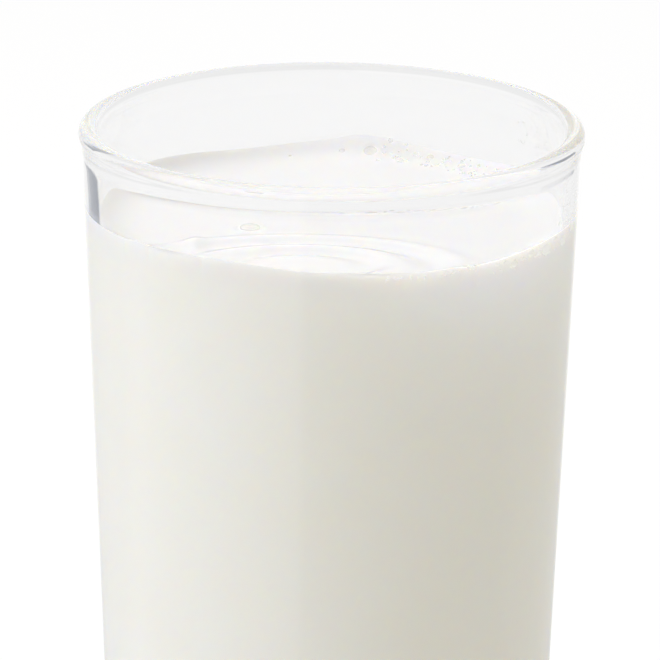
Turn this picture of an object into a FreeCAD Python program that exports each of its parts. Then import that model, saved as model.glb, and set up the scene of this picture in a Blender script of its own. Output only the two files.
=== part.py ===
import FreeCAD, Part
import math
import os

# A plain round tumbler of pressed soda-lime glass, filled with milk.
# Both pieces are turned about Z, from half outlines drawn in the XZ plane.
# The origin is the middle of the foot, where the glass stands on the table.
# Everything is in millimetres.

# The glass
height = 128.0               # table to the top of the rim
rim_radius = 36.0            # outside of the rim bead
foot_radius = 32.2           # outside of the wall, carried straight down to the table
wall = 2.0                   # thickness of the side wall
bead_proud = 0.43            # how far the fire-polished bead stands out from each face of the wall
bead_blend = 14.0            # hollow radius that leads from each face of the wall into the bead
floor_thickness = 8.0        # table to the inside floor
floor_corner = 7.0           # inside radius between floor and wall
heel_radius = 3.0            # outside radius between wall and foot
foot_ring_width = 3.0        # flat ring that the glass stands on
punt_depth = 1.6             # how far the middle of the foot is hollowed
punt_slope_width = 4.0       # width of the slope between the foot ring and the punt
punt_corner = 1.2            # radius at both ends of that slope

# The milk
free_height = 11.9           # rim top down to where the milk meets the wall
meniscus_height = 2.0        # how far the milk climbs the wall
meniscus_width = 5.0         # how far from the wall the surface is level

# Worked out from the sizes above
bead_radius = wall / 2 + bead_proud
bead_centre = FreeCAD.Vector(rim_radius - bead_radius, 0, height - bead_radius)
taper = (rim_radius - bead_proud - foot_radius) / bead_centre.z   # radius gained per mm of height
milk_edge = height - free_height
milk_level = milk_edge - meniscus_height


def point(radius, z):
    return FreeCAD.Vector(radius, 0, z)


def outside(z):
    """Point on the outer face of the side wall."""
    return point(foot_radius + taper * z, z)


def inside(z):
    """Point on the inner face of the side wall."""
    return outside(z) - point(wall, 0)


def line(start, end):
    return Part.LineSegment(start, end).toShape()


def arc(start, middle, end):
    return Part.Arc(start, middle, end).toShape()


def rounded_corner(before, corner, after, radius):
    """Start, middle and end of the arc that rounds a corner between two straight runs."""
    back = (before - corner).normalize()
    on = (after - corner).normalize()
    half_angle = back.getAngle(on) / 2
    reach = radius / math.tan(half_angle)
    centre = corner + (back + on).normalize() * (radius / math.sin(half_angle))
    middle = centre + (corner - centre).normalize() * radius
    return corner + back * reach, middle, corner + on * reach


def bead_blend_arc(foot, side):
    """Arc from one face of the wall into the bead: end on the wall, middle, end on the bead.

    foot is where that face meets the table, and side is 1 for the outer face, -1 for the inner.
    The arc's centre is bead_blend off the face, and bead_blend plus bead_radius from the bead's.
    """
    up = point(taper, 1).normalize()
    off = point(1, -taper).normalize() * side
    start = foot + off * bead_blend
    to_start = start - bead_centre
    along = to_start.dot(up)
    spare = to_start.dot(to_start) - (bead_radius + bead_blend) ** 2
    centre = start + up * (-along - math.sqrt(along ** 2 - spare))
    on_wall = centre - off * bead_blend
    on_bead = centre + (bead_centre - centre).normalize() * bead_blend
    bulge = ((on_wall + on_bead) * 0.5 - centre).normalize()
    return on_wall, centre + bulge * bead_blend, on_bead


def turned(edges):
    """Solid made by turning a closed half outline about Z."""
    outline = Part.Wire(edges)
    return Part.Face(outline).revolve(point(0, 0), FreeCAD.Vector(0, 0, 1), 360)


def inner_corner():
    """Rounded corner between the inner wall and the floor, from wall to floor."""
    return rounded_corner(inside(height), inside(floor_thickness), point(0, floor_thickness),
                          floor_corner)


def make_glass():
    ring_outside = foot_radius - heel_radius
    ring_inside = ring_outside - foot_ring_width
    punt_foot = point(ring_inside, 0)
    punt_top = point(ring_inside - punt_slope_width, punt_depth)
    punt_middle = point(0, punt_depth)
    heel = outside(0)

    upper = rounded_corner(punt_middle, punt_top, punt_foot, punt_corner)
    lower = rounded_corner(punt_top, punt_foot, heel, punt_corner)
    heel_arc = rounded_corner(punt_foot, heel, outside(height), heel_radius)
    outer_blend = bead_blend_arc(outside(0), 1)
    inner_blend = bead_blend_arc(inside(0), -1)
    bead_top = bead_centre + point(0, bead_radius)
    corner = inner_corner()
    floor_middle = point(0, floor_thickness)

    return turned([
        line(punt_middle, upper[0]),
        arc(*upper),
        line(upper[2], lower[0]),
        arc(*lower),
        line(lower[2], heel_arc[0]),
        arc(*heel_arc),
        line(heel_arc[2], outer_blend[0]),
        arc(*outer_blend),
        arc(outer_blend[2], bead_top, inner_blend[2]),
        arc(*reversed(inner_blend)),
        line(inner_blend[0], corner[0]),
        arc(*corner),
        line(corner[2], floor_middle),
        line(floor_middle, punt_middle),
    ])


def make_milk():
    """Fills the glass from its floor, with a surface that curves up to the wall."""
    corner = inner_corner()
    edge = inside(milk_edge)
    level_end = point(edge.x - meniscus_width, milk_level)
    curve_radius = (meniscus_width ** 2 + meniscus_height ** 2) / (2 * meniscus_height)
    curve_centre = level_end + point(0, curve_radius)
    bulge = ((edge + level_end) * 0.5 - curve_centre).normalize()
    level_middle = point(0, milk_level)
    floor_middle = point(0, floor_thickness)

    return turned([
        line(floor_middle, corner[2]),
        arc(*reversed(corner)),
        line(corner[0], edge),
        arc(edge, curve_centre + bulge * curve_radius, level_end),
        line(level_end, level_middle),
        line(level_middle, floor_middle),
    ])


os.makedirs("parts", exist_ok=True)
for node, shape in (("glass", make_glass()), ("milk", make_milk())):
    shape.exportStep(f"parts/{node}.step")
    print(node, "valid", shape.isValid(), "volume", round(shape.Volume / 1000, 2), "cm3")
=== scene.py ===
import math

import bpy
import numpy as np
from mathutils import Matrix, Vector


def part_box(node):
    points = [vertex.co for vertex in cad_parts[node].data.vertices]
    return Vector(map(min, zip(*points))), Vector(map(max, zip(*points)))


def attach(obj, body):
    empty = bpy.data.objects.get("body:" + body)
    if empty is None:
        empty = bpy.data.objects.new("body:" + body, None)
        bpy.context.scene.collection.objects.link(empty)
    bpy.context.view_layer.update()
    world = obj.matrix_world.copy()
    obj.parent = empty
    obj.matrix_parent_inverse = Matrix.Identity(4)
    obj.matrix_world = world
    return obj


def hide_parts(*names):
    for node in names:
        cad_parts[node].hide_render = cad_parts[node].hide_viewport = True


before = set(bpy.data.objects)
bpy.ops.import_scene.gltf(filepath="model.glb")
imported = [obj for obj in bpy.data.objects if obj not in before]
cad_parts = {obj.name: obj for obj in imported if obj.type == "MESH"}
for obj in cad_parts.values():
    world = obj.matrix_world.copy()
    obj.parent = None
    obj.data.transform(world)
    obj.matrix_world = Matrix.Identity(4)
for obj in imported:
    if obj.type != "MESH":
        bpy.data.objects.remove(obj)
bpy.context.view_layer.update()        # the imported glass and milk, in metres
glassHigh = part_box("glass")[1]
milkLow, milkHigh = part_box("milk")


def point(radius, height):
    # a point of a half section, beside the middle line of the glass
    return np.array([radius, height], float)


def unit(vector):
    return vector / np.linalg.norm(vector)


def along(start, end, steps):
    # steps points from start towards end, the end left out
    share = np.linspace(0, 1, steps, endpoint=False)[:, None]
    return start + (end - start) * share


def arcBetween(start, end, centre, steps):
    # the shorter arc round centre: the angle runs evenly from start to end
    first = np.arctan2(*(start - centre)[::-1])
    turn = np.arctan2(*(end - centre)[::-1]) - first
    turn = (turn + math.pi) % (2 * math.pi) - math.pi
    angle = first + turn * np.linspace(0, 1, steps)
    size = np.linalg.norm(start - centre)
    return centre + size * np.stack([np.cos(angle), np.sin(angle)], 1)


def roundedCorner(before, corner, after, radius, steps):
    # arc that touches both straight runs, centre on the line that halves their angle
    back, on = unit(before - corner), unit(after - corner)
    half = math.acos(np.clip(back @ on, -1, 1)) / 2
    centre = corner + unit(back + on) * radius / math.sin(half)
    reach = radius / math.tan(half)
    return arcBetween(corner + back * reach, corner + on * reach, centre, steps)


def gridParts(grid):
    # grid is rows x columns x 3, and its last column joins its first.
    # A row whose points all coincide is a pole and becomes one vertex.
    rows, columns = grid.shape[:2]
    isPole = np.ptp(grid, axis=1).max(axis=1) < 1e-9
    count = np.where(isPole, 1, columns)
    firstOf = np.concatenate([[0], np.cumsum(count)[:-1]])
    index = firstOf[:, None] + np.where(isPole[:, None], 0, np.arange(columns))
    nextIndex = np.roll(index, -1, axis=1)
    quads = np.stack([index[:-1], nextIndex[:-1], nextIndex[1:], index[1:]], -1).reshape(-1, 4)
    lowPole = quads[:, 0] == quads[:, 1]
    highPole = quads[:, 2] == quads[:, 3]
    vertices = np.concatenate([row[:n] for row, n in zip(grid, count)])
    lowest = quads[lowPole][:, [0, 2, 3]]
    highest = quads[highPole][:, :3]
    return vertices, [quads[~lowPole & ~highPole], lowest, highest]


def meshFrom(name, vertices, faces):
    # faces is a list of arrays, each with one number of corners, and sizes is that number per face
    sizes = np.concatenate([np.full(len(part), part.shape[1]) for part in faces])
    corners = np.concatenate([part.ravel() for part in faces])
    mesh = bpy.data.meshes.new(name)
    mesh.vertices.add(len(vertices))
    mesh.vertices.foreach_set("co", vertices.ravel())
    mesh.loops.add(len(corners))
    mesh.loops.foreach_set("vertex_index", corners)
    mesh.polygons.add(len(sizes))
    mesh.polygons.foreach_set("loop_start", np.concatenate([[0], np.cumsum(sizes)[:-1]]))
    mesh.update(calc_edges=True)
    mesh.shade_smooth()
    return mesh


def surfaceMesh(name, grid):
    return meshFrom(name, *gridParts(grid))


def copiesMesh(name, grid, centres, frames):
    # every copy is centre + frame x point; a frame's columns are the copy's own axes, scaled
    vertices, faces = gridParts(grid)
    placed = np.einsum("cij,vj->cvi", frames, vertices) + centres[:, None]
    start = np.arange(len(centres))[:, None, None] * len(vertices)
    return meshFrom(name, placed.reshape(-1, 3),
                    [(part[None] + start).reshape(-1, part.shape[1]) for part in faces])


def addPiece(name, mesh, *materials):
    piece = bpy.data.objects.new(name, mesh)
    bpy.context.scene.collection.objects.link(piece)
    for material in materials:
        mesh.materials.append(material)
    return piece


def flatPiece(name, corners, material):
    # one flat face through four corners
    mesh = bpy.data.meshes.new(name)
    mesh.from_pydata(corners, [], [(0, 1, 2, 3)])
    return addPiece(name, mesh, material)


def turned(profile, columns):
    # each profile point (radius, height) goes round Z: x = radius cos a, y = radius sin a
    angle = np.arange(columns) * 2 * math.pi / columns
    x = profile[:, :1] * np.cos(angle)
    y = profile[:, :1] * np.sin(angle)
    z = np.repeat(profile[:, 1:], columns, axis=1)
    return np.stack([x, y, z], -1)


def linear(hexColour):
    # sRGB hex to linear, with full alpha
    parts = [int(hexColour[i:i + 2], 16) / 255 for i in (1, 3, 5)]
    return [c / 12.92 if c <= 0.04045 else ((c + 0.055) / 1.055) ** 2.4 for c in parts] + [1.0]


def newMaterial(name):
    material = bpy.data.materials.new(name)
    material.use_nodes = True
    material.node_tree.nodes.clear()
    return material.node_tree, material


def addNode(tree, kind, settings=None, inputs=None):
    # one node: settings are its own properties, inputs are values or other nodes' sockets
    node = tree.nodes.new(kind)
    for name, value in (settings or {}).items():
        setattr(node, name, value)
    for name, value in (inputs or {}).items():
        if isinstance(value, bpy.types.NodeSocket):
            tree.links.new(value, node.inputs[name])
        else:
            node.inputs[name].default_value = value
    return node


def twoTones(tree, first, second, scale, share=1.0):
    # one colour drifting into another in soft patches, scale of them to the metre; the noise lies
    # mostly between 0.3 and 0.7
    where = addNode(tree, "ShaderNodeTexCoord")
    patches = addNode(tree, "ShaderNodeTexNoise", inputs={
        "Vector": where.outputs["Object"], "Scale": scale, "Detail": 2.0, "Distortion": 1.2})
    amount = addNode(tree, "ShaderNodeMapRange", inputs={
        "Value": patches.outputs["Fac"], "From Min": 0.3, "From Max": 0.7, "To Max": share})
    tone = addNode(tree, "ShaderNodeMix", {"data_type": "RGBA"}, {
        0: amount.outputs["Result"], 6: linear(first), 7: linear(second)})
    return tone.outputs[2]


def lettingLightThrough(tree, shader, colour):
    # light on its way to or from the milk passes straight through, as through a thin wall
    thin = addNode(tree, "ShaderNodeBsdfTransparent", inputs={"Color": linear(colour)})
    path = addNode(tree, "ShaderNodeLightPath")
    soft = addNode(tree, "ShaderNodeMath", {"operation": "MAXIMUM"},
                   {0: path.outputs["Is Shadow Ray"], 1: path.outputs["Is Diffuse Ray"]})
    both = addNode(tree, "ShaderNodeMixShader", inputs={
        0: soft.outputs[0], 1: shader.outputs[0], 2: thin.outputs[0]})
    addNode(tree, "ShaderNodeOutputMaterial", inputs={"Surface": both.outputs[0]})


# Pressed soda-lime glass, fire-polished: colourless and mirror smooth, with long low waves from the
# mould that only make what shows in it swim a little.

tumbler = {
    "wall": 0.0020,
    "footRadius": 0.0322,      # outside of the wall, carried straight down to the table
    "beadProud": 0.00043,      # how far the bead stands out from each face of the wall
    "beadBlend": 0.0140,       # hollow radius from the wall into the bead
    "floorCorner": 0.0070,
    "heel": 0.0030,
    "footRing": 0.0030,
    "puntDepth": 0.0016,
    "puntSlope": 0.0040,
    "puntCorner": 0.0012,
    "columns": 320,
    "cornerSteps": 7,          # steps round each rounded part of the section
    "heelSteps": 14,
    "blendSteps": 14,
    "beadSteps": 18,
    "floorSteps": 16,
    "wallSteps": 30,           # and along its straight runs
    "flatSteps": 8,
    "ringSteps": 4,
    "colour": "#FEFEFE",
    "shade": "#FBFBFB",        # what the wall lets through to the milk and the table
    "ior": 1.52,
    "waveScale": 70.0,         # the pressing leaves waves about 14 mm long
    "waveHeight": 0.000012,
}

rimHeight = glassHigh.z
rimRadius = glassHigh.x
beadRadius = tumbler["wall"] / 2 + tumbler["beadProud"]
beadCentre = point(rimRadius - beadRadius, rimHeight - beadRadius)
taper = (rimRadius - tumbler["beadProud"] - tumbler["footRadius"]) / beadCentre[1]
floorHeight = milkLow.z


def outside(height):
    # outer face of the wall: radius = foot radius + taper x height
    return point(tumbler["footRadius"] + taper * height, height)


def inside(height, deep=0.0):
    # inner face of the wall, moved outwards into the glass by deep
    return outside(height) - point(tumbler["wall"] - deep, 0)


def insideRadius(height):
    # the same face's radius, for whole arrays of heights
    return tumbler["footRadius"] + taper * height - tumbler["wall"]


def beadBlendArc(foot, side, steps):
    # arc from a face of the wall into the bead: its centre is beadBlend off the face
    # and beadBlend + beadRadius from the bead's centre
    up = unit(point(taper, 1))
    off = unit(point(1, -taper)) * side
    start = foot + off * tumbler["beadBlend"]
    toStart = start - beadCentre
    reach = toStart @ up
    spare = toStart @ toStart - (beadRadius + tumbler["beadBlend"]) ** 2
    centre = start - up * (reach + math.sqrt(reach ** 2 - spare))
    onWall = centre - off * tumbler["beadBlend"]
    onBead = centre + unit(beadCentre - centre) * tumbler["beadBlend"]
    return arcBetween(onWall, onBead, centre, steps)


def tumblerProfile():
    # half section from the middle of the foot outwards, up the wall, over the bead, down the inside
    # and back to the middle of the floor, straight runs joined by arcs
    ringOut = tumbler["footRadius"] - tumbler["heel"]
    ringIn = ringOut - tumbler["footRing"]
    puntFoot = point(ringIn, 0)
    puntTop = point(ringIn - tumbler["puntSlope"], tumbler["puntDepth"])
    puntMiddle = point(0, tumbler["puntDepth"])
    upper = roundedCorner(puntMiddle, puntTop, puntFoot, tumbler["puntCorner"],
                          tumbler["cornerSteps"])
    lower = roundedCorner(puntTop, puntFoot, outside(0), tumbler["puntCorner"],
                          tumbler["cornerSteps"])
    heel = roundedCorner(puntFoot, outside(0), outside(rimHeight), tumbler["heel"],
                         tumbler["heelSteps"])
    outer = beadBlendArc(outside(0), 1, tumbler["blendSteps"])
    inner = beadBlendArc(inside(0), -1, tumbler["blendSteps"])[::-1]
    beadTop = beadCentre + point(0, beadRadius)
    overTop = np.concatenate([
        arcBetween(outer[-1], beadTop, beadCentre, tumbler["beadSteps"])[1:-1],
        arcBetween(beadTop, inner[0], beadCentre, tumbler["beadSteps"])[:-1],
    ])
    corner = roundedCorner(inside(rimHeight), inside(floorHeight), point(0, floorHeight),
                           tumbler["floorCorner"], tumbler["floorSteps"])
    return np.concatenate([
        along(puntMiddle, upper[0], tumbler["flatSteps"]), upper, lower,
        along(lower[-1], heel[0], tumbler["ringSteps"])[1:], heel,
        along(heel[-1], outer[0], tumbler["wallSteps"])[1:], outer, overTop, inner,
        along(inner[-1], corner[0], tumbler["wallSteps"])[1:], corner,
        along(corner[-1], point(0, floorHeight), tumbler["flatSteps"])[1:],
        point(0, floorHeight)[None],
    ])


def firePolishedGlass():
    tree, material = newMaterial("fire-polished soda-lime glass")
    where = addNode(tree, "ShaderNodeTexCoord")
    waves = addNode(tree, "ShaderNodeTexNoise", inputs={
        "Vector": where.outputs["Object"], "Scale": tumbler["waveScale"], "Detail": 0.0})
    wavy = addNode(tree, "ShaderNodeBump", inputs={
        "Height": waves.outputs["Fac"], "Distance": tumbler["waveHeight"]})
    clear = addNode(tree, "ShaderNodeBsdfPrincipled", inputs={
        "Base Color": linear(tumbler["colour"]),
        "Roughness": 0.0,
        "IOR": tumbler["ior"],
        "Transmission Weight": 1.0,
        "Normal": wavy.outputs[0],
    })
    lettingLightThrough(tree, clear, tumbler["shade"])
    return material


tumblerMesh = surfaceMesh("tumbler", turned(tumblerProfile(), tumbler["columns"]))
tumblerPiece = addPiece("tumbler", tumblerMesh, firePolishedGlass())
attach(tumblerPiece, "root")
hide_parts("glass")
print("tumbler made:", len(tumblerPiece.data.polygons), "faces")


# Whole milk: water with fat globules that scatter nearly all light, so it glows from within
# and has no texture of its own; the open surface is wet and smooth.

milk = {
    "intoWall": 0.00008,       # reaches this far into the glass, so that no air shows
    "meniscus": 0.0020,
    "capillary": 0.0022,       # the climb falls to a third over this distance from the wall
    "columns": 440,
    "bottomRows": 5,
    "cornerRows": 12,
    "sideRows": 25,
    "edgeRows": 26,            # on the open surface, crowded together near the wall
    "edgeFrom": 0.00006,       # their distances from the wall
    "edgeTo": 0.0040,
    "evenFrom": 0.0043,        # and those of the evenly spaced rows
    "evenTo": 0.0334,
    "rowGap": 0.00025,
    "sharpAngle": 50,          # degrees: the edge between side and open surface stays sharp
    "facesUp": 0.5,            # a face whose normal rises more than this is open surface
    "underLevel": 0.0006,      # points lower than this under the level are not on it
    "colour": "#F4F2E7",       # as light comes back out of it through the wall
    "litOpenColour": "#FCFCFA",   # painted light: the same milk made whiter on the open surface, where light falls from above
    "ior": 1.35,
    "depth": 0.0011,           # how far light wanders inside, seen through the wall
    "openDepth": 0.0008,       # and at the open surface
    "cream": "#F1EDDA",
    "swirlShare": 0.22,
    "swirlScale": 45.0,        # swirls about 20 mm across
    "glassIor": 1.05,          # milk against glass hardly reflects
    "glassRough": 0.5,
    "openRough": 0.05,
    "mixing": (1.0, 0.85, 0.6),    # how far red, green and blue wander beside each other
    "greyerColour": "#E8E8E8",   # painted shade in a band where it climbs the wall
    "shadeWidth": 0.0030,
    "shadeAwayFromWidest": 0.62,       # how much of that painted shade shows away from its widest side
    "shadeWidestAt": 132,          # degrees round Z: where the painted shade band is widest
    "shadeWidestHalf": 40,
    "shadeWidestExtra": 0.0035,    # the band is this much wider there
}

milkLevel = milkHigh.z - milk["meniscus"]
wallRadius = inside(milkHigh.z)[0]

# (angle round Z in degrees, half width in degrees, height in metres): where milk clings higher
# or lower on the wall
clinging = [
    (146, 14, 0.0002),
    (113, 16, -0.00075),
    (81, 9, 0.0009),
    (52, 15, -0.0005),
    (30, 8, 0.0004),
    (-57, 20, -0.0007),
    (-124, 20, 0.0006),
]


def wallLine(angle):
    # height of the milk's edge on the wall: its highest + the sum of rise x exp(-(angle / width)^2)
    height = np.full_like(angle, milkHigh.z)
    for middle, width, rise in clinging:
        apart = (np.degrees(angle) - middle + 180) % 360 - 180
        height = height + rise * np.exp(-(apart / width) ** 2)
    return height


# the last of the pouring: rings that are wider from side to side, and a short fold at their left
ripple = {
    "centre": (-0.0040, -0.0235),
    "squeeze": 0.62,           # the rings are this much shorter from front to back
    "outermost": 0.0202,       # half width of the outermost ring
    "spacing": 0.0095,
    "height": 0.00036,
    "reach": 0.0225,
    "innermost": 0.0082,       # the milk inside this is calm again
    "fade": 0.0010,
    "foldAt": (-0.0188, -0.0150),
    "foldWide": 0.0014,
    "foldLong": 0.0032,
    "foldHeight": 0.00060,
}

# x, y and radius in metres, then the depth of the dip it stands in, in its own radii:
# the bubbles that lie apart
bubbles = [
    (0.0059, 0.0307, 0.00115, 0.30),
    (0.0016, 0.0311, 0.00050, 0.30),
    (0.0090, 0.0320, 0.00042, 0.20),
    (0.0114, 0.0312, 0.00028, 0.20),
    (0.0104, 0.0276, 0.00060, 0.12),
    (0.0128, 0.0292, 0.00050, 0.12),
    (0.0150, 0.0281, 0.00055, 0.12),
    (0.0196, 0.0242, 0.00065, 0.12),
    (-0.0063, 0.0297, 0.00032, 0.30),
    (-0.0114, -0.0063, 0.00145, 0.03),
]

# lengths here are shares of the bubble's radius
bubble = {
    "dipWide": 0.8,
    "lip": 0.08,               # height of the milk that climbs round it
    "lipAt": 1.1,
    "lipWide": 0.3,
    "dome": 0.36,              # height of its film
    "film": 0.035,             # thickness of its film
    "colour": "#FDFDFB",
    "clear": 0.85,             # share of the light that the film lets through
    "roughness": 0.02,
    "ior": 1.34,
}


def milkSurface(x, y):
    # level + the climb to the wall, exp(-distance / capillary) + rings: sin(2 pi d / spacing)
    # + a fold, exp(-(across / wide)^2 - (along / long)^2) + a dip and a lip under each bubble
    radius = np.hypot(x, y)
    climb = wallLine(np.arctan2(y, x)) - milkLevel
    height = milkLevel + climb * np.exp(-(wallRadius - radius) / milk["capillary"])
    centreX, centreY = ripple["centre"]
    across = np.hypot(x - centreX, (y - centreY) / ripple["squeeze"])
    fade = 1 / (1 + np.exp((across - ripple["reach"]) / ripple["fade"]))
    fade = fade / (1 + np.exp((ripple["innermost"] - across) / ripple["fade"]))
    rings = np.sin(2 * math.pi * (across - ripple["outermost"]) / ripple["spacing"])
    height = height + ripple["height"] * rings * fade
    foldX = (x - ripple["foldAt"][0]) / ripple["foldWide"]
    foldY = (y - ripple["foldAt"][1]) / ripple["foldLong"]
    height = height + ripple["foldHeight"] * np.exp(-foldX ** 2 - foldY ** 2)
    for bubbleX, bubbleY, size, sink in bubbles:
        away = np.hypot(x - bubbleX, y - bubbleY) / size
        dip = -sink * np.exp(-(away / bubble["dipWide"]) ** 4)
        lip = bubble["lip"] * np.exp(-((away - bubble["lipAt"]) / bubble["lipWide"]) ** 2)
        height = height + size * (dip + lip)
    return height


def milkGrid():
    # the floor and its corner turned round Z, then rows up the wall to the wavy line, then rows
    # shrinking to the middle of the open surface
    columns = milk["columns"]
    angle = np.arange(columns) * 2 * math.pi / columns
    deep = milk["intoWall"]
    floor = floorHeight - deep
    corner = roundedCorner(inside(rimHeight, deep), inside(floor, deep), point(0, floor),
                           tumbler["floorCorner"], milk["cornerRows"])[::-1]
    flat = along(point(0, floor), corner[0], milk["bottomRows"])
    bottom = turned(np.concatenate([flat, corner]), columns)
    edge = wallLine(angle)
    share = np.linspace(0, 1, milk["sideRows"] + 1)[1:, None]
    height = corner[-1][1] + (edge - corner[-1][1]) * share
    radius = insideRadius(height) + deep
    side = np.stack([radius * np.cos(angle), radius * np.sin(angle), height], -1)
    edgeRadius = radius[-1]
    inwards = np.concatenate([np.geomspace(milk["edgeFrom"], milk["edgeTo"], milk["edgeRows"]),
                              np.arange(milk["evenFrom"], milk["evenTo"], milk["rowGap"])])
    shrink = 1 - inwards[:, None] / edgeRadius
    shrink[-1] = 0
    x = edgeRadius * shrink * np.cos(angle)
    y = edgeRadius * shrink * np.sin(angle)
    top = np.stack([x, y, milkSurface(x, y)], -1)
    top[-1] = top[-1].mean(axis=0)
    return np.concatenate([bottom, side, top])


# whiter froth under the milk's edge at the front right, with a painted glow
frothAndGlow = {
    "angle": -42,              # middle of the frothy stretch, in degrees round Z
    "halfWidth": 36,
    "depth": 0.0080,           # below the milk's edge, where the froth has thinned to a third
    "inwards": 0.0010,         # the same, from the wall
    "colour": "#FFFFFE",
    "glowColour": "#FFFAEB",
    "glow": 0.17,              # painted glow, standing in for light led down from the open surface
}


def frothAndGlowShare(x, y, z):
    # exp(-(angle / half width)^2) x exp(-depth below the edge / depth) x exp(-way in / inwards):
    # where the froth whitens the milk and its painted glow shows
    angle = np.arctan2(y, x)
    apart = (np.degrees(angle) - frothAndGlow["angle"] + 180) % 360 - 180
    below = np.maximum(wallLine(angle) - z, 0)
    wayIn = np.maximum(insideRadius(z) - np.hypot(x, y), 0)
    fading = below / frothAndGlow["depth"] + wayIn / frothAndGlow["inwards"]
    return np.exp(-(apart / frothAndGlow["halfWidth"]) ** 2 - fading)


def paintedShadeShare(x, y, z):
    # painted shade: exp(-(distance from the wall / width)^2), wider and stronger on one side
    angle = np.degrees(np.arctan2(y, x))
    apart = (angle - milk["shadeWidestAt"] + 180) % 360 - 180
    widest = np.exp(-(apart / milk["shadeWidestHalf"]) ** 2)
    width = milk["shadeWidth"] + milk["shadeWidestExtra"] * widest
    strength = milk["shadeAwayFromWidest"] + (1 - milk["shadeAwayFromWidest"]) * widest
    onTop = z > milkLevel - milk["underLevel"]
    return onTop * strength * np.exp(-((wallRadius - np.hypot(x, y)) / width) ** 2)


def wholeMilk(name, colour, depth, ior, roughness):
    # white all through, with slow swirls of cream that barely show; whiter where fine froth is
    # stirred in, with a painted glow there, and a painted shade that greys a band where it climbs
    # the wall
    tree, material = newMaterial(name)
    share = addNode(tree, "ShaderNodeAttribute", {"attribute_name": "frothAndGlow"})
    creamy = twoTones(tree, colour, milk["cream"], milk["swirlScale"], milk["swirlShare"])
    film = addNode(tree, "ShaderNodeAttribute", {"attribute_name": "film"})
    # painted shade: greyer in the band where the milk climbs the wall
    shadedBand = addNode(tree, "ShaderNodeMix", {"data_type": "RGBA"}, {
        0: film.outputs["Fac"], 6: creamy, 7: linear(milk["greyerColour"])})
    tone = addNode(tree, "ShaderNodeMix", {"data_type": "RGBA"}, {
        0: share.outputs["Fac"], 6: shadedBand.outputs[2], 7: linear(frothAndGlow["colour"])})
    # painted glow: the froth shines by itself
    glow = addNode(tree, "ShaderNodeMath", {"operation": "MULTIPLY"}, {
        0: share.outputs["Fac"], 1: frothAndGlow["glow"]})
    shader = addNode(tree, "ShaderNodeBsdfPrincipled", inputs={
        "Base Color": tone.outputs[2],
        "Emission Color": linear(frothAndGlow["glowColour"]),
        "Emission Strength": glow.outputs[0],
        "Roughness": roughness,
        "IOR": ior,
        "Subsurface Weight": 1.0,
        "Subsurface Radius": milk["mixing"],
        "Subsurface Scale": depth,
    })
    addNode(tree, "ShaderNodeOutputMaterial", inputs={"Surface": shader.outputs[0]})
    return material


# two copies of one milk: the open surface's is whiter, which is painted light from above
milkPiece = addPiece("milk_filling", surfaceMesh("milk_filling", milkGrid()),
                     wholeMilk("whole milk against glass", milk["colour"], milk["depth"],
                               milk["glassIor"], milk["glassRough"]),
                     wholeMilk("whole milk, open surface", milk["litOpenColour"], milk["openDepth"],
                               milk["ior"], milk["openRough"]))
milkPiece.data.set_sharp_from_angle(angle=math.radians(milk["sharpAngle"]))
# faces that look up take the second material
faceNormals = np.zeros(len(milkPiece.data.polygons) * 3)
milkPiece.data.polygons.foreach_get("normal", faceNormals)
openFaces = faceNormals.reshape(-1, 3)[:, 2] > milk["facesUp"]
milkPiece.data.polygons.foreach_set("material_index", openFaces.astype(int))
milkPoints = np.zeros(len(milkPiece.data.vertices) * 3)
milkPiece.data.vertices.foreach_get("co", milkPoints)
# the first share whitens the froth and paints a glow there; the second paints shade in the band by
# the wall
for name, share in (("frothAndGlow", frothAndGlowShare), ("film", paintedShadeShare)):
    layer = milkPiece.data.attributes.new(name, "FLOAT", "POINT")
    layer.data.foreach_set("value", share(*milkPoints.reshape(-1, 3).T))
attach(milkPiece, "root")
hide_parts("milk")
print("milk made:", len(milkPiece.data.polygons), "faces")


def uprightFrames(normals, sizes):
    # a frame's third axis is its normal and the first two lie across it; sizes are their lengths
    upish = np.where(np.abs(normals[:, 2:]) > 0.9, [[1.0, 0, 0]], [[0, 0, 1.0]])
    side = np.cross(upish, normals)
    side /= np.linalg.norm(side, axis=1)[:, None]
    other = np.cross(normals, side)
    return np.stack([side, other, normals], -1) * sizes[:, None, :]


def filmDome(rows, columns):
    # outer skin from the pole to the foot, then the inner skin back up: both are
    # (cos t, dome sin t), the inner one smaller by the film
    t = np.linspace(math.pi / 2, 0, rows)
    outer = np.stack([np.cos(t), bubble["dome"] * np.sin(t)], 1)
    inner = outer[::-1] * (1 - bubble["film"])
    outer[0, 0] = inner[-1, 0] = 0
    return turned(np.concatenate([outer, inner])[::-1], columns)


# a patch of fine bubbles where the surface meets the back of the wall, on the right
fineBubbles = {
    "count": 60,
    "angle": (38, 76),         # degrees round Z
    "fromWall": (0.0005, 0.0046),
    "radius": (0.00012, 0.00032),
    "spare": 0.0004,           # they keep this far from the larger bubbles
}

places = np.array(bubbles)[:, :3]
chance = np.random.default_rng(7)
fineAngle = np.radians(chance.uniform(*fineBubbles["angle"], fineBubbles["count"]))
fineRadius = wallRadius - chance.uniform(*fineBubbles["fromWall"], fineBubbles["count"])
fineSize = chance.uniform(*fineBubbles["radius"], fineBubbles["count"])
fine = np.stack([fineRadius * np.cos(fineAngle), fineRadius * np.sin(fineAngle), fineSize], 1)
apart = np.hypot(fine[:, None, 0] - places[None, :, 0], fine[:, None, 1] - places[None, :, 1])
fine = fine[(apart > places[None, :, 2] + fineBubbles["spare"]).all(axis=1)]


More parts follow.
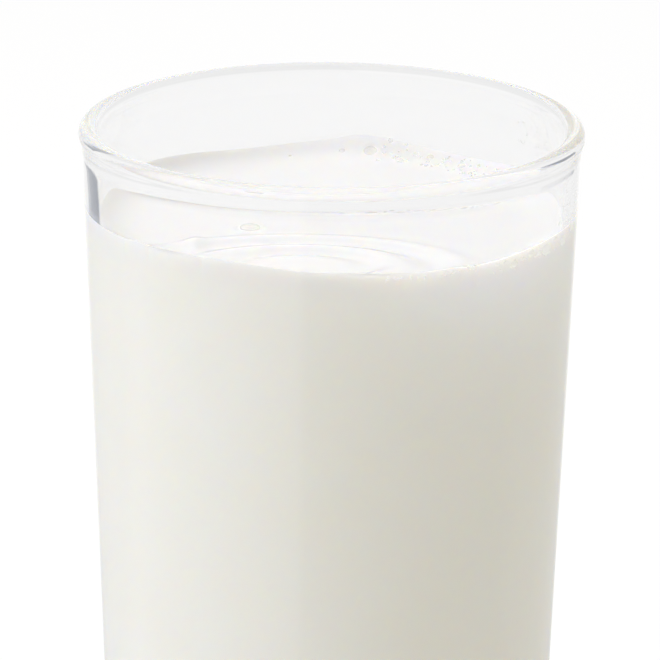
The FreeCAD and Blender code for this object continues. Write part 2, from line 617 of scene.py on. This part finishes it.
def surfaceNormals(x, y):
    # (-slope along x, -slope along y, 1) at unit length, the slopes taken over step to either side
    step = 0.00002
    slopeX = (milkSurface(x + step, y) - milkSurface(x - step, y)) / (2 * step)
    slopeY = (milkSurface(x, y + step) - milkSurface(x, y - step)) / (2 * step)
    normals = np.stack([-slopeX, -slopeY, np.ones_like(x)], 1)
    return normals / np.linalg.norm(normals, axis=1)[:, None]


def milkFilm():
    # wet milk drawn out to a film by the air inside it: smooth and clear, with enough fat left to
    # whiten what lies behind
    tree, material = newMaterial("thin milk film")
    film = addNode(tree, "ShaderNodeBsdfPrincipled", inputs={
        "Base Color": linear(bubble["colour"]),
        "Roughness": bubble["roughness"],
        "IOR": bubble["ior"],
        "Transmission Weight": bubble["clear"],
    })
    lettingLightThrough(tree, film, bubble["colour"])
    return material


def addBubbles(name, spots, rows, columns, bury):
    # each dome stands along the surface's normal, sunk by bury times its own radius
    x, y, size = spots.T
    normals = surfaceNormals(x, y)
    centres = np.stack([x, y, milkSurface(x, y)], 1) - normals * (size * bury)[:, None]
    frames = uprightFrames(normals, np.repeat(size[:, None], 3, axis=1))
    mesh = copiesMesh(name, filmDome(rows, columns), centres, frames)
    piece = addPiece(name, mesh, milkFilm())
    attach(piece, "root")
    print(name, "made:", len(spots))


addBubbles("bubbles", places, rows=10, columns=28, bury=-0.12)
addBubbles("fine_bubbles", fine, rows=5, columns=10, bury=0.0)

# bubbles pressed against the wall: angle in degrees, height over the level, half width and
# half height in metres
pressed = [
    (-43.0, 0.0002, 0.00062, 0.00044),
    (-40.0, 0.0006, 0.00040, 0.00030),
    (-37.0, 0.0010, 0.00070, 0.00050),
    (-33.6, 0.0004, 0.00044, 0.00036),
    (-30.2, 0.0005, 0.00110, 0.00078),
    (-26.0, 0.0014, 0.00050, 0.00040),
    (-21.0, 0.0003, 0.00100, 0.00070),
    (-15.0, 0.0012, 0.00090, 0.00056),
    (-48.5, 0.0008, 0.00040, 0.00026),
    (-46.0, 0.0010, 0.00030, 0.00022),
]


foam = {
    "halfThick": 0.00016,      # of a pressed bubble, whose middle lies on the milk's own face
    "thinBelow": 0.00025,      # narrower bubbles are thinner in proportion
    "rowCount": 70,            # a row of fine ones along the milk's edge
    "rowAngle": (-78, -52),
    "rowMiddle": -65,
    "rowBelow": 0.00105,       # the row's mean distance below the milk's highest line
    "rowSpread": 0.00022,
    "rowRise": 0.000012,       # it climbs this much for each degree to the right
    "rowRadius": (0.00006, 0.00016),
    "scatterCount": 60,        # and fine ones between the larger
    "scatterAngle": (-50, -14),
    "scatterHeight": (-0.0011, 0.0012),
    "scatterRadius": (0.00007, 0.00020),
    "rows": 9,
    "columns": 14,
    "colour": "#FFFFFC",
    "greyerColour": "#F3F1E8",
    "patchScale": 500.0,       # patches of 2 mm
    "roughness": 0.4,
    "ior": 1.05,
    "glow": 0.16,              # painted glow, standing in for light led down from the open surface
}


def pressedBubbles():
    # the larger ones, the row and the scattered ones, in the form of the list above
    angle = chance.uniform(*foam["rowAngle"], foam["rowCount"])
    height = chance.normal(-foam["rowBelow"], foam["rowSpread"], foam["rowCount"])
    height = height + (angle - foam["rowMiddle"]) * foam["rowRise"] + milk["meniscus"]
    size = chance.uniform(*foam["rowRadius"], foam["rowCount"])
    row = np.stack([angle, height, size, size], 1)
    angle = chance.uniform(*foam["scatterAngle"], foam["scatterCount"])
    height = chance.uniform(*foam["scatterHeight"], foam["scatterCount"])
    size = chance.uniform(*foam["scatterRadius"], foam["scatterCount"])
    return np.concatenate([np.array(pressed), row, np.stack([angle, height, size, size], 1)])


def flecksMesh(name, angle, height, off, sizes, rows, columns):
    # flattened balls on the wall: (cos t, sin t) turned round their own axis, which points out of
    # the wall, and their middles lie outside its inner face by the distance off
    face = insideRadius(height) + off
    outward = np.stack([np.cos(angle), np.sin(angle), np.zeros_like(angle)], 1)
    centres = outward * face[:, None] + np.array([0, 0, 1.0]) * height[:, None]
    t = np.linspace(-math.pi / 2, math.pi / 2, rows)
    ball = np.stack([np.cos(t), np.sin(t)], 1)
    ball[[0, -1], 0] = 0
    return copiesMesh(name, turned(ball, columns), centres, uprightFrames(outward, sizes))


def flatFoam():
    # milk foam pressed on glass: air in thin skins of milk, so it is whiter than the milk, a little
    # greyer where it is thin, and hardly reflects; a painted glow makes it shine by itself
    tree, material = newMaterial("milk foam against glass")
    shader = addNode(tree, "ShaderNodeBsdfPrincipled", inputs={
        "Base Color": twoTones(tree, foam["colour"], foam["greyerColour"], foam["patchScale"]),
        "Roughness": foam["roughness"],
        "IOR": foam["ior"],
        # painted glow: the foam shines by itself in its own colour
        "Emission Color": linear(foam["colour"]),
        "Emission Strength": foam["glow"],
    })
    addNode(tree, "ShaderNodeOutputMaterial", inputs={"Surface": shader.outputs[0]})
    return material


def addFoam():
    spots = pressedBubbles()
    thick = foam["halfThick"] * np.minimum(1, spots[:, 2] / foam["thinBelow"])
    sizes = np.stack([spots[:, 2], spots[:, 3], thick], 1)
    mesh = flecksMesh("foam_at_wall", np.radians(spots[:, 0]), milkLevel + spots[:, 1],
                      milk["intoWall"], sizes, foam["rows"], foam["columns"])
    piece = addPiece("foam_at_wall", mesh, flatFoam())
    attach(piece, "root")
    print("foam made:", len(spots))


addFoam()

# drops that splashed up the inside of the wall and dried to flat specks, most of them on the right
specks = {
    "count": 260,
    "halfAngle": 26,           # degrees either side of straight right
    "low": 0.0006,             # heights over the milk's edge
    "high": 0.0088,
    "small": 0.00005,
    "large": 0.00013,
    "ringCount": 30,           # a faint ring where one larger drop ran dry
    "ringTurn": (0.4, 5.2),    # the stretch of it that is left, in radians
    "ringWidth": (0.85, 1.1),  # shares of its radius between which its specks lie
    "ringAngle": 33,
    "ringHeight": 0.0056,
    "ringRadius": 0.0016,
    "thick": 0.00002,
    "rows": 5,
    "columns": 8,
    "colour": "#F6F5F1",
    "greyerColour": "#E3E1DB",
    "patchScale": 900.0,       # patches of about 1 mm, so that neighbours differ
    "roughness": 0.7,
}


def driedMilk():
    # milk dried on glass: a matt, chalky white crust, greyer where little was left to dry
    tree, material = newMaterial("dried milk")
    shader = addNode(tree, "ShaderNodeBsdfPrincipled", inputs={
        "Base Color": twoTones(tree, specks["colour"], specks["greyerColour"], specks["patchScale"]),
        "Roughness": specks["roughness"],
    })
    addNode(tree, "ShaderNodeOutputMaterial", inputs={"Surface": shader.outputs[0]})
    return material


def addSpecks():
    # ring: the middle + radius x (cos turn, sin turn), laid on the wall
    count = specks["count"]
    angle = np.radians(chance.uniform(-specks["halfAngle"], specks["halfAngle"], count))
    height = milkHigh.z + chance.uniform(specks["low"], specks["high"], count)
    turn = chance.uniform(*specks["ringTurn"], specks["ringCount"])
    reach = specks["ringRadius"] * chance.uniform(*specks["ringWidth"], specks["ringCount"])
    ringAngle = math.radians(specks["ringAngle"]) + reach * np.cos(turn) / wallRadius
    ringHeight = milkHigh.z + specks["ringHeight"] + reach * np.sin(turn)
    angle = np.concatenate([angle, ringAngle])
    height = np.concatenate([height, ringHeight])
    size = chance.uniform(specks["small"], specks["large"], len(angle))
    sizes = np.stack([size, size, np.full_like(size, specks["thick"])], 1)
    mesh = flecksMesh("dried_specks", angle, height, 0.0, sizes, specks["rows"], specks["columns"])
    piece = addPiece("dried_specks", mesh, driedMilk())
    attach(piece, "root")
    print("specks made:", len(size))


addSpecks()


# White paper under and behind the glass, soft light from overhead and from the left, and a dim warm
# room everywhere else.

studio = {
    "paper": "#5C5C5C",        # what the floor scatters; the rest of its white is its own light
    "paperGlow": 0.915,
    "halfFloor": 3.0,
    "behind": 0.44,            # light from the white wall behind the glass
    "room": 0.165,             # light from the rest of the room
    "roomColour": "#FFF0D4",
    "through": 0.935,          # what the eye sees of the paper through clear glass
    "throughNear": 0.85,       # and of the paper close to the foot, and of the room overhead
    "mirrored": 1.05,          # what smooth faces show of the paper behind and the left panel
    "mirroredSide": 0.79,      # and beside them
    "mirroredFront": 0.60,     # and of the room in front of the glass
    # where one of these gives way to another, in parts of a unit direction
    "frontToSide": (-0.2, 0.2),
    "sideToBehind": (0.85, 0.98),
    "panelEdge": (-0.16, -0.26),
    "panelEnd": (0.45, 0.05),
    "behindRise": (-0.3, 0.5),
    "overheadRise": (0.02, 0.25),
    "nearToFar": (0.30, 0.42), # metres from the middle of the foot
}


# azimuth, elevation, distance, width, height in metres, watts, colour
softboxes = {
    "overhead softbox": (0, 85, 1.1, 1.0, 1.0, 8.5, "#FFFFFF"),
    "left front softbox": (24, 22, 0.8, 0.36, 0.5, 0.77, "#E0E7FF"),
    "left softbox": (72, 22, 0.8, 0.5, 0.5, 2.50, "#E0E7FF"),
}


def smoothRange(tree, value, start, end, low=0.0, high=1.0):
    # eases from low to high as value goes from start to end
    node = addNode(tree, "ShaderNodeMapRange", {"interpolation_type": "SMOOTHSTEP"}, {
        "Value": value, "From Min": start, "From Max": end, "To Min": low, "To Max": high})
    return node.outputs["Result"]


def mirroredStrength(tree, direction):
    # direction is level and of length 1: its Y is 1 straight behind the glass, its X -1 at the left
    split = addNode(tree, "ShaderNodeSeparateXYZ", inputs={0: direction})
    side = smoothRange(tree, split.outputs["Y"], *studio["frontToSide"],
                       studio["mirroredFront"], studio["mirroredSide"])
    behind = smoothRange(tree, split.outputs["Y"], *studio["sideToBehind"])
    left = smoothRange(tree, split.outputs["X"], *studio["panelEdge"])
    forward = smoothRange(tree, split.outputs["Y"], *studio["panelEnd"])
    panel = addNode(tree, "ShaderNodeMath", {"operation": "MULTIPLY"}, {0: left, 1: forward})
    bright = addNode(tree, "ShaderNodeMath", {"operation": "MAXIMUM"},
                     {0: behind, 1: panel.outputs[0]})
    node = addNode(tree, "ShaderNodeMapRange", inputs={
        "Value": bright.outputs[0], "To Min": side, "To Max": studio["mirrored"]})
    return node.outputs["Result"]


def levelDirection(tree, vector):
    # the vector with its height taken away, at unit length
    flat = addNode(tree, "ShaderNodeVectorMath", {"operation": "MULTIPLY"},
                   {0: vector, 1: (1, 1, 0)})
    node = addNode(tree, "ShaderNodeVectorMath", {"operation": "NORMALIZE"}, {0: flat.outputs[0]})
    return node.outputs[0]


def paperFloor():
    # seamless white paper, matt and evenly lit. Seen through the glass it is a little greyer, more
    # so close to the foot, and mirror smooth faces show how uneven the room is
    tree, material = newMaterial("white paper sweep")
    paper = addNode(tree, "ShaderNodeBsdfDiffuse", inputs={"Color": linear(studio["paper"])})
    glow = addNode(tree, "ShaderNodeEmission", inputs={
        "Color": (1, 1, 1, 1), "Strength": studio["paperGlow"]})
    lit = addNode(tree, "ShaderNodeAddShader", inputs={0: paper.outputs[0], 1: glow.outputs[0]})
    where = addNode(tree, "ShaderNodeTexCoord")
    mirrored = addNode(tree, "ShaderNodeEmission", inputs={
        "Color": (1, 1, 1, 1),
        "Strength": mirroredStrength(tree, levelDirection(tree, where.outputs["Object"]))})
    away = addNode(tree, "ShaderNodeVectorMath", {"operation": "LENGTH"},
                   {0: where.outputs["Object"]})
    through = addNode(tree, "ShaderNodeEmission", inputs={
        "Color": (1, 1, 1, 1),
        "Strength": smoothRange(tree, away.outputs["Value"], *studio["nearToFar"],
                                studio["throughNear"], studio["through"])})
    path = addNode(tree, "ShaderNodeLightPath")
    bounced = addNode(tree, "ShaderNodeMixShader", inputs={
        0: path.outputs["Is Glossy Ray"], 1: lit.outputs[0], 2: mirrored.outputs[0]})
    seen = addNode(tree, "ShaderNodeMixShader", inputs={
        0: path.outputs["Is Transmission Ray"], 1: bounced.outputs[0], 2: through.outputs[0]})
    addNode(tree, "ShaderNodeOutputMaterial", inputs={"Surface": seen.outputs[0]})
    return material


def addFloor():
    half = studio["halfFloor"]
    corners = [(-half, -half, 0), (half, -half, 0), (half, half, 0), (-half, half, 0)]
    floor = flatPiece("floor", corners, paperFloor())


# dark things in the room that show in the wall and the bead: degrees to the right of straight
# behind, distance from the rim's edge, height of the middle, width, height in metres, tone
darkCards = {
    "left card": (-31, 0.19, 0.052, 0.064, 0.100, "#969BA5"),
    "right card": (53, 0.19, 0.119, 0.130, 0.050, "#8C919B"),
}


def darkPaper(name, tone):
    # matt grey paper of one even tone, clear except to light that has been thrown about inside one
    # wall of the glass: on its third bounce or later, and through fewer than three faces
    tree, material = newMaterial(name)
    even = addNode(tree, "ShaderNodeEmission", inputs={"Color": linear(tone)})
    nothing = addNode(tree, "ShaderNodeBsdfTransparent")
    path = addNode(tree, "ShaderNodeLightPath")
    thrown = addNode(tree, "ShaderNodeMath", {"operation": "GREATER_THAN"},
                     {0: path.outputs["Ray Depth"], 1: 2.5})
    oneWall = addNode(tree, "ShaderNodeMath", {"operation": "LESS_THAN"},
                      {0: path.outputs["Transmission Depth"], 1: 2.5})
    shows = addNode(tree, "ShaderNodeMath", {"operation": "MULTIPLY"},
                    {0: thrown.outputs[0], 1: oneWall.outputs[0]})
    paper = addNode(tree, "ShaderNodeMixShader", inputs={
        0: shows.outputs[0], 1: nothing.outputs[0], 2: even.outputs[0]})
    addNode(tree, "ShaderNodeOutputMaterial", inputs={"Surface": paper.outputs[0]})
    return material


def addCard(name, azimuth, distance, middle, width, height, tone):
    # a flat upright card that faces the glass, so the clear parts stay clear from every side
    turn = math.radians(azimuth)
    outward = Vector((math.sin(turn), math.cos(turn), 0))
    side = Vector((math.cos(turn), -math.sin(turn), 0)) * width / 2
    up = Vector((0, 0, height / 2))
    centre = outward * distance + Vector((math.copysign(rimRadius, azimuth), 0, middle))
    corners = [centre - side - up, centre + side - up, centre + side + up, centre - side + up]
    card = flatPiece(name, [tuple(corner) for corner in corners], darkPaper(name, tone))
    card.visible_camera = False
    card.visible_diffuse = False
    card.visible_shadow = False
    card.visible_glossy = False


def addWorld():
    # white behind the glass and a dim warm room elsewhere; bent and mirrored light have their own
    # tones
    world = bpy.data.worlds.new("pale room")
    bpy.context.scene.world = world
    world.use_nodes = True
    tree = world.node_tree
    tree.nodes.clear()
    path = addNode(tree, "ShaderNodeLightPath")
    where = addNode(tree, "ShaderNodeTexCoord")
    split = addNode(tree, "ShaderNodeSeparateXYZ", inputs={0: where.outputs["Generated"]})
    room = addNode(tree, "ShaderNodeBackground", inputs={
        "Color": linear(studio["roomColour"]), "Strength": studio["room"]})
    behind = addNode(tree, "ShaderNodeBackground", inputs={
        "Color": (1, 1, 1, 1),
        "Strength": smoothRange(tree, split.outputs["Y"], *studio["behindRise"],
                                0.0, studio["behind"])})
    lit = addNode(tree, "ShaderNodeAddShader", inputs={0: room.outputs[0], 1: behind.outputs[0]})
    mirrored = addNode(tree, "ShaderNodeBackground", inputs={
        "Color": (1, 1, 1, 1),
        "Strength": mirroredStrength(tree, levelDirection(tree, where.outputs["Generated"]))})
    through = addNode(tree, "ShaderNodeBackground", inputs={
        "Color": (1, 1, 1, 1),
        "Strength": smoothRange(tree, split.outputs["Z"], *studio["overheadRise"],
                                studio["through"], studio["throughNear"])})
    white = addNode(tree, "ShaderNodeBackground", inputs={"Color": (1, 1, 1, 1)})
    # light that is bent in the glass counts as glossy too, so that is asked after it
    bounced = addNode(tree, "ShaderNodeMixShader", inputs={
        0: path.outputs["Is Glossy Ray"], 1: lit.outputs[0], 2: mirrored.outputs[0]})
    bent = addNode(tree, "ShaderNodeMixShader", inputs={
        0: path.outputs["Is Transmission Ray"], 1: bounced.outputs[0], 2: through.outputs[0]})
    seen = addNode(tree, "ShaderNodeMixShader", inputs={
        0: path.outputs["Is Camera Ray"], 1: bent.outputs[0], 2: white.outputs[0]})
    addNode(tree, "ShaderNodeOutputWorld", inputs={"Surface": seen.outputs[0]})


def addSoftbox(name, location, target, size, power, colour):
    light = bpy.data.lights.new(name, "AREA")
    light.shape = "RECTANGLE"
    light.size, light.size_y = size
    light.energy = power
    light.color = linear(colour)[:3]
    box = bpy.data.objects.new(name, light)
    box.location = location
    box.rotation_euler = (Vector(target) - Vector(location)).to_track_quat("-Z", "Y").to_euler()
    box.visible_camera = False
    box.visible_glossy = False
    box.visible_transmission = False
    bpy.context.scene.collection.objects.link(box)


addFloor()
addWorld()
glassMiddle = (0, 0, rimHeight / 2)
for name, (azimuth, elevation, distance, width, height, power, colour) in softboxes.items():
    # azimuth is measured round Z from the camera's side, clockwise seen from above
    turn, lift = math.radians(azimuth), math.radians(elevation)
    level = math.cos(lift)
    away = Vector((-math.sin(turn) * level, -math.cos(turn) * level, math.sin(lift)))
    place = Vector(glassMiddle) + away * distance
    addSoftbox(name, place, glassMiddle, (width, height), power, colour)
for name, card in darkCards.items():
    addCard(name, *card)
print("studio lit")


# metres from the middle of the bead's ring, degrees, and the lens and its sensor in millimetres
camera = {
    "distance": 0.450,
    "elevation": 15.05,        # of the line from there to the camera
    "aimBelow": 3.62,          # the view's middle is this many degrees below the rim's
    "roll": 0.545,
    "lens": 172.2,
    "sensor": 36,
    "nearest": 0.01,
}


def addCamera():
    up = math.radians(camera["elevation"])
    down = math.radians(camera["elevation"] + camera["aimBelow"])
    lens = bpy.data.cameras.new("camera")
    lens.lens = camera["lens"]
    lens.sensor_width = camera["sensor"]
    lens.clip_start = camera["nearest"]
    lens.dof.use_dof = False
    eye = bpy.data.objects.new("camera", lens)
    eye.location = (0, -camera["distance"] * math.cos(up),
                    beadCentre[1] + camera["distance"] * math.sin(up))
    tilt = Matrix.Rotation(math.pi / 2 - down, 3, "X")
    roll = Matrix.Rotation(math.radians(camera["roll"]), 3, "Z")
    eye.rotation_euler = (tilt @ roll).to_euler()
    bpy.context.scene.collection.objects.link(eye)
    bpy.context.scene.camera = eye


addCamera()
scene = bpy.context.scene
scene.view_settings.view_transform = "Standard"
# light goes round inside the bead many times before it comes out
scene.cycles.max_bounces = 32
scene.cycles.glossy_bounces = 16
scene.cycles.transmission_bounces = 32
print("camera placed")
